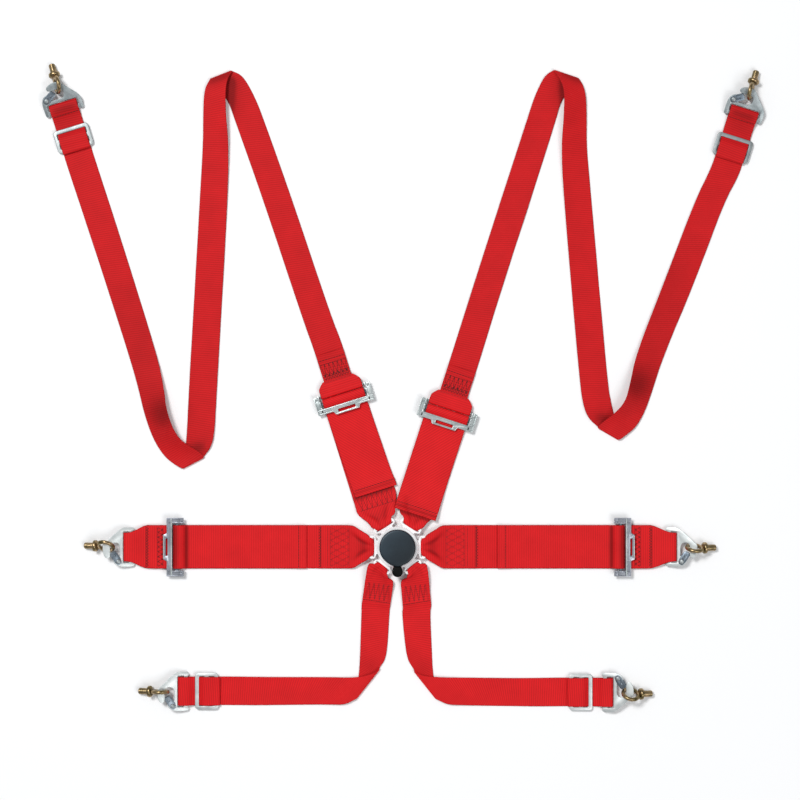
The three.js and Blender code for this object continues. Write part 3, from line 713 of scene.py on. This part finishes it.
def build_shoulder(side):
    name = "shoulder_" + side
    spec = SHOULDERS[side]
    start = tongue_lane(name)
    lane, anchor = adjuster_lane(name, start)
    h = anchor - HANDLE_TO_ANCHOR
    out = 1 if side == "left" else -1

    def pick(s):
        return start if s < 12 else lane

    lower = [
        *tongue_loop(58, WIDE, 33, [(5, 41), (12, 50), (22, 62, 2 * out), (31, 71, 3 * out)]),
        (h + 11, FLOOR, WIDE),
        *wrap(h + 15.4, 5.65, 4.9, -90, 90, WIDE),
        (h + 11, 10.35, WIDE),
        (h + 5, 6.6, WIDE),
        (h - 5, 4.2, WIDE),
        (h - 20, FLOOR + PLY, WIDE),
        *spec["tail"],
    ]
    body_path = thread(hem(lower), pick)
    first, second = spec["tail_hem"]
    # Painted shade: a dark band on the lower ply just under the hem's edge, and a fainter one along the
    # hem's middle on the top ply
    spots = across_lane(lane, first - 3, 34, 5, 0.75, 0, 4 if side == "left" else 12)
    shade = shaded(spots + across_lane(lane, first + 5, 38, 3.5, 0.4, 4, 20))
    dip = gathered(start, 42, 3.8)
    node = name + "_lower_strap"
    strap = build_strap(name + "_lower_webbing", body_path, name, node, RED_TWILL[side], dip, shade)
    middle = Lane(lane.at(0, spec["tail"][-1][3] if side == "left" else 0), lane.along)
    stitch_lines(name + "_hem_stitches", strap, name, [row(middle, second, 36)], material=THREAD_DARK)
    if side == "left":
        stitch_lines(name + "_lower_stitches", strap, name, bar_tack(lane, 34, 58, 34, 7))

    top = FLOOR + 3 * PLY
    loop = [
        (h + 49, FLOOR, NARROW + 6),
        (h + 46, FLOOR, NARROW + 13),
        (h + 37, FLOOR, WIDE),
        *wrap(h + 26, 4.6, 3.85, -90, -270, WIDE),
        (h + 30.5, top + 1.2, WIDE),
        (h + 33, top + 1.9, WIDE),
        (h + 36, top + 1.0, WIDE),
        (h + 39.5, top + 1.6, WIDE - 2),
        (h + 43, top + 0.7, WIDE - 8),
        (h + 46.5, top + 0.5, NARROW + 12),
        (h + 49.5, top - 0.1, NARROW + 4),
    ]
    piece = build_strap(name + "_loop_webbing", thread(loop, pick), name, name + "_loop_piece", RED_WIDE)
    stitch_lines(name + "_loop_stitches", piece, name, [row(lane, h + 47.6, 25)])

    end = hook_lane(name)
    slide = slide_distance(name, end)
    riser = [
        (h + 97, FLOOR + PLY, NARROW),
        (h + 63, FLOOR + PLY, NARROW),
        (h + 50, FLOOR + 2 * PLY, NARROW),
        *wrap(h + 36, FLOOR + 1.5 * PLY, PLY / 2, 90, 270, NARROW, 4),
        (h + 50, FLOOR + PLY, NARROW),
        (h + 61, FLOOR, NARROW),
        (h + 112, FLOOR, NARROW),
    ]
    stations = [
        *thread(riser, pick),
        *(flat(*edges) for edges in spec["rising"]),
        *raised(spec["top"]),
        *crease(spec["top_crease"], -1),
        *raised(spec["falling"]),
        *crease(spec["bottom_crease"], 1),
        *raised(spec["outgoing"]),
        *thread(slide_threading(slide), lambda s: end),
    ]
    mirror = -1 if side == "left" else 1
    turn_x, turn_y = (sum(spec["bottom_crease"][i::2]) / 2 for i in (0, 1))
    # Painted shade: beside the top fold's inner edge and along its crease, where the falling ply meets
    # the bottom crease, and in a dark patch that fades up the outgoing ply
    spots = [
        *along_line(mirror * 291, 818, mirror * 296, 756, 9, 0.55, 0, 4),
        *along_line(mirror * 286, 814, mirror * 290, 760, 20, 0.26, 0, 4),
        *along_line(mirror * 330, 812, mirror * 288, 829, 12, 0.45, 2, 20),
        *along_line(
            turn_x - mirror * 13, turn_y + 28, turn_x + mirror * 22, turn_y + 12, 14, 0.35, 0, 3
        ),
        (turn_x + mirror * 46, turn_y + 84, 36, 0.75, 0, 30),
        *along_line(
            turn_x + mirror * 60, turn_y + 90, turn_x + mirror * 122, turn_y + 290, 50, 0.22, 0, 30
        ),
        (turn_x - mirror * 18, turn_y + 22, 22, 0.4, 0, 30),
    ]
    # Painted shade on the wrap over the hook's bar and on the plies between the bracket and the slide
    spots += [(*end.at(1, across)[:2], 10, 0.55, 8, 20) for across in (-18, -6, 6, 18)]
    spots += [(*end.at(s, across)[:2], 12, 0.2, 2, 9) for across in (-15, 0, 15) for s in (-14, -25)]
    shade = shaded(spots)
    node = name + "_upper_strap"
    upper = build_strap(name + "_upper_webbing", stations, name, node, RED_NARROW, shade=shade)
    lines = [row(end, -8, 23), row(lane, h + 86, 23)]
    lines += [*bar_tack(lane, h + 57, h + 79, 25, 6), zigzag(lane, h + 57, h + 63, 23, 7)]
    stitch_lines(name + "_upper_stitches", upper, name, lines, material=THREAD_DARK)
    edge = overlock(lane, h + 53.5, 24)
    stitch_lines(name + "_upper_overlock", upper, name, edge, material=THREAD_DARK)


def slide_distance(name, end):
    """How far the three-bar slide's middle lies from the bracket's bar."""
    low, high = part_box(name + "_slide")
    middle = (low + high) / 2 / MM
    return (end.origin - Vector((middle.x, middle.y, 0))).dot(end.along)


def build_lap(side):
    name = "lap_" + side
    body = "buckle" if side == "left" else name
    lane, a = adjuster_lane(name, tongue_lane(name))
    sewn, tail_end = (89, 114) if side == "left" else (92, 130)
    end = hook_lane(name)
    b = (end.origin - lane.origin).length

    def pick(s):
        return lane

    main = [
        *tongue_loop(sewn, WIDE, 33, [(5, 43), (13, 52), (23, 64), (31, 75)]),
        (a - 14, FLOOR, WIDE),
        *wrap(a - 11.5, 5.75, 5.0, -90, 90, WIDE),
        (a - 17, 10.9, WIDE),
        (a - 22, 9.6, WIDE),
        (a - 27, 4.6, WIDE),
        (a - 30.5, FLOOR + PLY + 0.1, WIDE),
        (a - 45, FLOOR + PLY, WIDE),
        (tail_end + 26, FLOOR + PLY, WIDE),
        (tail_end + 15, FLOOR + 2 * PLY, WIDE),
        (tail_end, FLOOR + 2 * PLY, WIDE),
    ]
    body_path = thread(hem(main), pick)
    # Painted shade: in the valley where the rolled strap drops back behind the handle, on the wrap
    # beside the handle and at the tail's end
    spots = []
    for s, radius, amount in ((a - 29, 4, 0.7), (a - 10, 7, 0.55), (tail_end - 3, 3, 0.5)):
        spots += across_lane(lane, s, 36, radius, amount, 1.5, 14)
    node, dip = name + "_main_strap", gathered(lane)
    strap = build_strap(name + "_main_webbing", body_path, body, node, RED_WIDE, dip, shaded(spots))
    lines = [*bar_tack(lane, 39, 71, 36, 6, 3), row(lane, 76, 34)]
    stitch_lines(name + "_main_stitches", strap, body, lines, material=THREAD_SOFT)
    lines = [row(lane, s, 36.5) for s in (tail_end + 12.5, sewn - 1)] + overlock(lane, sewn + 0.5, 36.5)
    stitch_lines(name + "_main_overlock", strap, body, lines, material=THREAD_DARK)
    end_strap = [
        (a + 15, FLOOR + PLY, WIDE),
        (a + 42, FLOOR + PLY, WIDE),
        (a + 50, FLOOR, 70),
        (b - 2, FLOOR, NARROW),
        *wrap(b + 8.8, 5.6, 4.85, -90, 90, NARROW),
        (b - 2, 10.4, NARROW + 3),
        (a + 44, FLOOR + 2 * PLY, WIDE),
        (a + 14, FLOOR + 2 * PLY, WIDE),
        *wrap(a, 4.6, 3.85, 90, 270, WIDE),
        (a + 41, FLOOR, WIDE),
    ]
    stations = thread(end_strap, pick)
    strap = build_strap(name + "_end_webbing", stations, body, name + "_end_strap", RED_WIDE)
    lines = overlock(lane, a + 39, 36) + [row(lane, a + 41.5, 35)]
    lines += bar_tack(lane, a + 12, a + 21, 36, 8)
    stitch_lines(name + "_end_stitches", strap, body, lines, material=THREAD_DARK)


LEGS = {
    "left": dict(
        turn=30,
        falling=[(-14, -115, -63, -115), (-17, -170, -65, -178), (-21, -197, -67, -224)],
        crease=(-29.5, -209, -77, -269),
        outgoing=[
            (-38, -220, 5, -92, -276, 4.4),
            (-70, -229, 3.2, -116, -276, 2.6),
            (-120, -228, 0.75, -144, -276, 0.75),
            (-220, -228, 0.75, -222, -277, 0.75),
        ],
    ),
    "right": dict(
        turn=-33,
        falling=[(57, -115, 8, -115), (60, -178, 12.5, -165), (62, -225, 17.5, -198)],
        crease=(72, -269, 27.5, -213),
        outgoing=[
            (88, -276, 4.4, 38, -224, 5),
            (114, -277, 2.6, 68, -228, 3.2),
            (146, -278, 0.75, 120, -229, 0.75),
            (222, -279, 0.75, 220, -230, 0.75),
        ],
    ),
}


def build_leg(side):
    name = "leg_" + side
    spec = LEGS[side]
    start = tongue_lane(name)
    lane = start.turned(spec["turn"])
    end = hook_lane(name)
    slide = slide_distance(name, end)
    loop = tongue_loop(62, NARROW, 27, [(3, 36), (9, 45), (17, 50)])
    stations = [
        *thread(loop, lambda s: start if s < 12 else lane),
        *(flat(*edges) for edges in spec["falling"]),
        *crease(spec["crease"], -1),
        *raised(spec["outgoing"]),
        *thread(slide_threading(slide), lambda s: end, -1),
    ]
    # Painted shade at the foot of the falling ply, by the crease
    shade = shaded([(-45 if side == "left" else 42, -212, 26, 0.45, 0, 3)])
    node, dip = name + "_strap", gathered(start, 30, 2.0)
    strap = build_strap(name + "_webbing", stations, name, node, RED_LEG, dip, shade)
    first, tilt = (27, 0) if side == "left" else (29.5, 1.8)
    lines = [zigzag(lane, first, first + 30, 22, 5), zigzag(lane, first + 2, first + 30, 20, 5)]
    stitch_lines(name + "_stitches", strap, name, lines, radius=0.3)
    hem_row = [lane.at(first + 32.5 + tilt, -24), lane.at(first + 32.5 - tilt, 24)]
    stitch_lines(name + "_hem_stitches", strap, name, [hem_row], pitch=4.2, material=THREAD_DARK)


# ---- metalwork ----


def bevelled(node, width, material):
    """A CAD node shown as it is, with broken edges."""
    thing = NODES[node]
    thing.data.materials.clear()
    thing.data.materials.append(material)
    for polygon in thing.data.polygons:
        polygon.use_smooth = True
    bevel = thing.modifiers.new("edges", "BEVEL")
    bevel.width = width * MM
    bevel.segments = 2
    bevel.limit_method = "ANGLE"
    bevel.angle_limit = math.radians(35)
    bevel.harden_normals = True


def lathe(profile, count=64, swell=None):
    """A turned part about +Z from (radius, z) pairs. swell adds to the rim's radius at an angle."""
    vertices = []
    for r, z in profile:
        for k in range(count):
            angle = 2 * math.pi * k / count
            reach = r + (swell(angle) if swell and r > 20 else 0)
            vertices.append(Vector((reach * math.cos(angle), reach * math.sin(angle), z)))
    return vertices, skin(len(profile), count)


def arc(cx, cz, radius, a0, a1, steps=5):
    """Points of an arc from angle a0 to a1."""
    points = []
    for i in range(steps + 1):
        angle = math.radians(a0 + (a1 - a0) * i / steps)
        points.append((cx + radius * math.cos(angle), cz + radius * math.sin(angle)))
    return points


def build_knob():
    rim = [(27, 22.4), *arc(30.3, 23.6, 1.2, -90, 0), *arc(28.8, 31.1, 2.7, 0, 80, 7)]
    rim += [(27, 34.0), (14, 34.35), (0.5, 34.4)]

    def toward_tab(angle):
        off = abs(math.degrees(angle) - 270)
        return 0.7 * (1 + math.cos(math.pi * off / 24)) if off < 24 else 0

    vertices, faces = lathe(rim, 120, toward_tab)
    finish_piece(make_object("knob_disc", vertices, faces, SLATE), "knob", ["buckle_knob"])
    vertices = []
    outline = arc(0, -41.6, 9.4, 148, 392, 26)
    outline += [(7.2, -34.6), (6.6, -33.4), (7.0, -32.2), (-7.0, -32.2), (-6.6, -33.4), (-7.2, -34.6)]
    centre = Vector((0, -39, 0))
    layers = [(21.9, 0.8), (22.6, 0.95), (24.5, 1), (30.5, 1), (32.2, 0.94), (33.1, 0.78), (33.4, 0.4)]
    for z, scale in layers:
        for x, y in outline:
            point = centre + (Vector((x, y, 0)) - centre) * scale
            if y > -33:
                point.y = max(point.y, -32.9)
            vertices.append(Vector((point.x, min(point.y, -32.0), z)))
    tab = make_object("thumb_tab_body", vertices, skin(len(layers), len(outline)), BLACK)
    finish_piece(tab, "knob", ["buckle_thumb_tab"])


# How far each eyebolt's ring leans about its shank, in degrees.
LEANS = {
    "shoulder_left": 20,
    "shoulder_right": -15,
    "lap_left": 34,
    "lap_right": 20,
    "leg_left": 3,
    "leg_right": 34,
}


def build_eyebolt(name):
    """A forged ring and collar with a cut thread, built along +X and laid in the eyebolt's own frame."""
    lane = hook_lane(name)
    lean = LEANS[name]
    roll = Matrix.Rotation(math.radians(lean), 3, "X")
    around, along = 20, 56
    vertices, faces = [], []
    for i in range(along):
        a = 2 * math.pi * i / along
        for k in range(around):
            b = 2 * math.pi * k / around
            reach = 13.5 + 3.5 * math.cos(b)
            vertices.append(roll @ Vector((reach * math.cos(a), 3.5 * math.sin(b), reach * math.sin(a))))
    for i in range(along):
        for k in range(around):
            m, n = (k + 1) % around, (i + 1) % along
            faces.append((i * around + k, i * around + m, n * around + m, n * around + k))
    collar = [(5, 15.2), (7.6, 15.6), (9.2, 16.6), (10, 17.8), (10, 21.2)]
    collar += [(9.6, 21.9), (8.8, 22.1), (5.5, 22.15)]
    shank, pitch, z = [(5.5, 22.1), (5.55, 23.2)], 1.27, 23.2
    while z < 38.4:
        shank += [(5.6, z + pitch * 0.15), (5.15, z + pitch * 0.5), (5.6, z + pitch * 0.85)]
        z += pitch
    shank += [(5.3, 39.0), (4.3, 39.9)]
    for profile in (collar, shank):
        turned, _ = lathe(profile, 32)
        faces += skin(len(profile), 32, len(vertices))
        vertices += [Vector((v.z, v.x, v.y)) for v in turned]
    pitch_down = Matrix.Rotation(math.radians(17), 4, "Y")
    heading = Matrix.Rotation(math.atan2(lane.along.y, lane.along.x), 4, "Z")
    place = Matrix.Translation(lane.at(43.9, -0.065 * lean, 17)) @ heading @ pitch_down
    bolt = make_object(name + "_forged_eyebolt", [place @ v for v in vertices], faces, GOLD)
    finish_piece(bolt, name + "_eyebolt", [name + "_eyebolt"])


def filleted(points, radius, steps=4):
    """The outline with each corner rounded, by no more than 0.45 of its shorter side."""
    out = []
    count = len(points)
    for i, p in enumerate(points):
        p = Vector(p)
        a, b = Vector(points[i - 1]) - p, Vector(points[(i + 1) % count]) - p
        reach = min(radius, 0.45 * a.length, 0.45 * b.length)
        start, end = p + a.normalized() * reach, p + b.normalized() * reach
        for k in range(steps + 1):
            t = k / steps
            out.append(tuple((1 - t) ** 2 * start + 2 * t * (1 - t) * p + t * t * end))
    return out


def plate(name, outline, holes, z0, z1, edge, place, material):
    """A flat plate with rounded edges, from outlines in its own plane, moved by the matrix place."""
    curve = bpy.data.curves.new(name, "CURVE")
    curve.dimensions = "2D"
    curve.fill_mode = "BOTH"
    curve.extrude = ((z1 - z0) / 2 - edge) * MM
    curve.bevel_depth = edge * MM
    curve.bevel_resolution = 2
    curve.offset = -edge * MM
    for loop in [outline, *holes]:
        spline = curve.splines.new("POLY")
        spline.points.add(len(loop) - 1)
        for point, (x, y) in zip(spline.points, loop):
            point.co = (x * MM, y * MM, 0, 1)
        spline.use_cyclic_u = True
    raw = placed(name + "_raw", curve)
    mesh = bpy.data.meshes.new_from_object(raw.evaluated_get(bpy.context.evaluated_depsgraph_get()))
    bpy.data.objects.remove(raw)
    lift = Matrix.Translation((0, 0, (z0 + z1) / 2 * MM))
    metres = place.copy()
    metres.translation = place.translation * MM
    mesh.transform(metres @ lift)
    work = bmesh.new()
    work.from_mesh(mesh)
    bmesh.ops.remove_doubles(work, verts=work.verts, dist=1e-6)
    work.to_mesh(mesh)
    work.free()
    mesh.materials.clear()
    mesh.materials.append(material)
    mesh.polygons.foreach_set("use_smooth", [True] * len(mesh.polygons))
    mesh.set_sharp_from_angle(angle=math.radians(50))
    return placed(name, mesh)


def oblong(x0, x1, y0, y1, radius):
    """A rectangle with rounded corners."""
    return filleted([(x0, y0), (x1, y0), (x1, y1), (x0, y1)], radius)


def lane_matrix(lane, s, z, pitch=0.0):
    """A frame at a place on a lane, with +X along it."""
    heading = Matrix.Rotation(math.atan2(lane.along.y, lane.along.x), 4, "Z")
    return Matrix.Translation(lane.at(s, 0, z)) @ heading @ Matrix.Rotation(math.radians(pitch), 4, "Y")


def build_slide(name):
    end = hook_lane(name)
    place = lane_matrix(end, -slide_distance(name, end), SLIDE_BAR_Z)
    slots = [oblong(-13.5, -3.5, -26, 26, 2.5), oblong(3.5, 13.5, -26, 26, 2.5)]
    outline = oblong(-20.5, 20.5, -32.2, 32.2, 7)
    # Shoulder slides in the darker plating, the others in the lighter copy, painted light
    tone = BRIGHT if "shoulder" in name else PLATE_PAINTED_LIGHT
    frame_plate = plate(name + "_slide_frame", outline, slots, 0, 3, 1.1, place, tone)
    finish_piece(frame_plate, name, [name + "_slide"])


def gate_side(name, end):
    """1 when the gate pivots on the lane's left, -1 when it pivots on its right."""
    gate = JOINTS[name + "_gate_open"]["pos_m"]
    across = (Vector((gate[0] / MM, gate[1] / MM, 0)) - end.origin).dot(end.left)
    return 1 if across > 0 else -1


def build_bracket(name):
    """The snap-hook plate, its throat on the gate's side."""
    end = hook_lane(name)
    side = gate_side(name, end)
    knuckle = arc(-6, 25, 9.3, -105, -25, 8)
    body = [(-33, -34), (-16, -34.5), (-7, -30), (15, -10), (21, -4.5), (21.5, 4), (20, 12)]
    body += [(16, 19), (10, 19.5), (7.8, 13), (8.4, 6), (8.4, -1), (6.5, -6), (1.5, -8.3), (-4, -7.6)]
    body += [(-7.6, -4), (-8.6, 2), (-8.6, 12), *knuckle, (3.4, 24), (0, 30), (-7, 33.5), (-16, 34.5)]
    body += [(-33, 34), (-35.2, 29.5), (-32.5, 27.5), (-32.5, -27.5), (-35.2, -29.5)]
    outline = [(x + 29.5, y * side) for x, y in filleted(body, 3.2)]
    slot = oblong(3.5, 15.5, -27.5, 27.5, 2.5)
    pin = arc(23.5, 25 * side, 2.7, 0, 342, 19)
    place = lane_matrix(end, 0, HOOK_Z, HOOK_PITCH)
    # Shoulder hooks in the darker plating, the others in the lighter copy, painted light
    tone = ZINC if "shoulder" in name else PLATE_PAINTED_LIGHT
    hook = plate(name + "_hook_plate", outline, [slot, pin], -1.5, 1.5, 0.5, place, tone)
    finish_piece(hook, name + "_hook", [name + "_bracket"])


def joined(name, things):
    """One object made of several."""
    work = bmesh.new()
    materials = []
    for thing in things:
        start = len(work.faces)
        work.from_mesh(thing.data)
        work.faces.ensure_lookup_table()
        material = thing.data.materials[0]
        if material not in materials:
            materials.append(material)
        for face in work.faces[start:]:
            face.material_index = materials.index(material)
        bpy.data.objects.remove(thing)
    mesh = bpy.data.meshes.new(name)
    work.to_mesh(mesh)
    work.free()
    for material in materials:
        mesh.materials.append(material)
    return placed(name, mesh)


def build_adjuster(name, body_name, facing):
    """The tilt-lock frame: a ridged handle with a thumb window, two folded ears and a fixed bar."""
    lane, anchor = adjuster_lane(name, tongue_lane(name))
    handle, fixed, lip, reach, bar_z, low = (
        (anchor - HANDLE_TO_ANCHOR, HANDLE_TO_ANCHOR, 8.5, 29, 4.2, 2.2)
        if facing > 0
        else (anchor, 0, 10, 26, 6.9, 5.2)
    )
    top = lip + 2.5
    place = lane_matrix(lane, handle, 0)
    if facing < 0:
        place = place @ Matrix.Rotation(math.pi, 4, "Z")
    grip = [(5, -51), (5, 51), (-5, 51), (-5, 24), (-11, 21.5), (-11, -21.5), (-5, -24), (-5, -51)]
    window = oblong(-7.6, -2.4, -15.5, 15.5, 1.4) if facing > 0 else oblong(-6.6, -3.4, -15, 15, 1.2)
    # The lap frames' faces take the darker copy, painted shade
    tone = ADJUSTER if facing > 0 else ADJUSTER_PAINTED_SHADE
    ridge, rim = oblong(1.9, 4.6, -50.4, 50.4, 1.2), oblong(-11, -8.9, -20.5, 20.5, 0.9)
    parts = [
        plate(name + "_grip", filleted(grip, 1.6), [window], lip, top, 0.7, place, tone),
        plate(name + "_ridge", ridge, [], top - 0.9, top + 0.7, 0.7, place, ADJUSTER),
        plate(name + "_rim", rim, [], top - 0.9, top + 0.6, 0.6, place, ADJUSTER),
    ]
    strips = [
        ("_step", -4.7, -2.1, 23.5, 50.4, top - 0.9, top + 0.6, 0.6),
        ("_ear", -4, reach - 3, 43.2, 50.6, lip + 0.2, lip + 1.3, 0.35),
        ("_wall", -4.8, reach - 1.2, 49.2, 51.1, lip, top + 0.7, 0.45),
        ("_claw", reach - 8, reach - 1, 44.5, 51, lip, top + 0.4, 0.8),
        ("_cheek_a", -4.8, 9.4, 41.1, 43.9, 2.3, top, 0.4),
        ("_cheek_b", 7.5, 19.5, 41.1, 43.9, bar_z + 2.6, top, 0.4),
        ("_cheek_c", 17.6, reach - 0.2, 41.1, 43.9, low, top, 0.4),
    ]
    for side in (-1, 1):
        for label, x0, x1, y0, y1, z0, z1, edge in strips:
            outline = oblong(x0, x1, *sorted((y0 * side, y1 * side)), 1.5)
            parts.append(plate(name + label, outline, [], z0, z1, edge, place, tone))
    vertices, faces = lathe([(1.0, -42.2), (1.7, -41.5), (1.7, 41.5), (1.0, 42.2)], 20)
    rod = [place @ (Vector((v.x, v.z, -v.y)) + Vector((fixed, 0, 4.6))) for v in vertices]
    parts.append(make_object(name + "_rod", rod, faces, ADJUSTER))
    finish_piece(joined(name + "_tilt_frame", parts), body_name, [name + "_adjuster_frame"])


def build_gate(name):
    """The spring gate: two pressed cheeks joined by a web, on a domed rivet."""
    end = hook_lane(name)
    across = gate_side(name, end) * 25
    hook = lane_matrix(end, 0, HOOK_Z, HOOK_PITCH)
    turned = Matrix.Rotation(math.radians(-57 * across / 25), 4, "Z")
    place = hook @ Matrix.Translation((23.5, across, 0)) @ turned
    cheek = [(-5.6, 3), (-3, 4.9), (3, 6.2), (17.5, 5.8), (19.3, 3.6)]
    outline = filleted([(x, -y) for x, y in cheek] + cheek[::-1], 1.8)
    pin = arc(0, 0, 2.6, 0, 342, 19)
    parts = [
        plate(name + "_a", outline, [pin], 1.85, 3.1, 0.35, place, DARK),
        plate(name + "_b", outline, [pin], -3.1, -1.85, 0.35, place, DARK),
        plate(name + "_c", oblong(9.8, 18.4, -1, 1, 0.6), [], -2.6, 2.6, 0.2, place, DARK),
    ]
    vertices, faces = lathe([(1.7, 3.0), (1.6, 3.3), (1.1, 3.6), (0.4, 3.75)], 18)
    dome = [place @ (v + Vector((11.5, 0, 0))) for v in vertices]
    parts.append(make_object(name + "_d", dome, faces, DARK))
    finish_piece(joined(name + "_gate_pressing", parts), name + "_gate", [name + "_gate"])
    head = [(2.25, 3.2), (4, 3.2), (4.1, 3.6), (3.9, 4.1), (3.2, 4.6), (2, 4.9), (0.3, 5.0)]
    profile = [(r, -z) for r, z in reversed(head)] + head
    vertices, faces = lathe(profile, 28)
    rivet = make_object(name + "_domed_rivet", [place @ v for v in vertices], faces, BRIGHT)
    finish_piece(rivet, name + "_hook", [name + "_rivet"])


# The buckle's shell and tongues take the near-white painted reflection
for node in ("buckle_base", "buckle_housing"):
    bevelled(node, 0.6, SHELL_PAINTED_REFLECTION)
for node in NODES:
    if node.endswith("_tongue"):
        bevelled(node, 0.5, SHELL_PAINTED_REFLECTION)
    if node.endswith("adjuster_bar") or node in ("buckle_return_spring", "buckle_cam"):
        bevelled(node, 0.2, DARK)

build_knob()
for end_name in ("shoulder_left", "shoulder_right", "lap_left", "lap_right", "leg_left", "leg_right"):
    build_eyebolt(end_name)
    build_bracket(end_name)
    build_gate(end_name)
    if not end_name.startswith("lap"):
        build_slide(end_name)
for hand in ("left", "right"):
    build_adjuster("shoulder_" + hand, "shoulder_" + hand + "_adjuster", 1)
    build_adjuster("lap_" + hand, "lap_" + hand + "_adjuster", -1)
    build_shoulder(hand)
    build_lap(hand)
    build_leg(hand)


# ---- floor, light and camera ----

floor_mesh = bpy.data.meshes.new("floor")
corners = [(-6, -6, -0.0004), (6, -6, -0.0004), (6, 6, -0.0004), (-6, 6, -0.0004)]
floor_mesh.from_pydata(corners, [], [(0, 1, 2, 3)])
paper, _, paper_bsdf = shader("paper")
paper_bsdf.inputs["Base Color"].default_value = (0.95, 0.95, 0.95, 1)
paper_bsdf.inputs["Roughness"].default_value = 0.9
floor_mesh.materials.append(paper)
floor = placed("floor", floor_mesh)

scene = bpy.context.scene
scene.view_settings.view_transform = "Standard"
world = bpy.data.worlds.new("studio")
world.use_nodes = True
background = world.node_tree.nodes["Background"]
background.inputs["Color"].default_value = (0.93, 0.96, 1.0, 1)
background.inputs["Strength"].default_value = 0.33
scene.world = world


def softbox(name, place, aim, size, power):
    """A square area light."""
    data = bpy.data.lights.new(name, "AREA")
    data.size = size
    data.energy = power
    lamp = placed(name, data)
    lamp.location = place
    lamp.rotation_euler = (Vector(aim) - Vector(place)).to_track_quat("-Z", "Y").to_euler()


softbox("key", (-2.0, 2.2, 5.2), (0, 0.1, 0), 1.4, 220)
softbox("fill", (2.4, -2.0, 4.4), (0, 0.1, 0), 2.8, 90)

lens = bpy.data.cameras.new("camera")
lens.lens = 100
lens.sensor_width = 36
camera = placed("camera", lens)
camera.location = (0.0044, 0.2567, 3.889)
camera.rotation_euler = (0, 0, 0)
scene.camera = camera
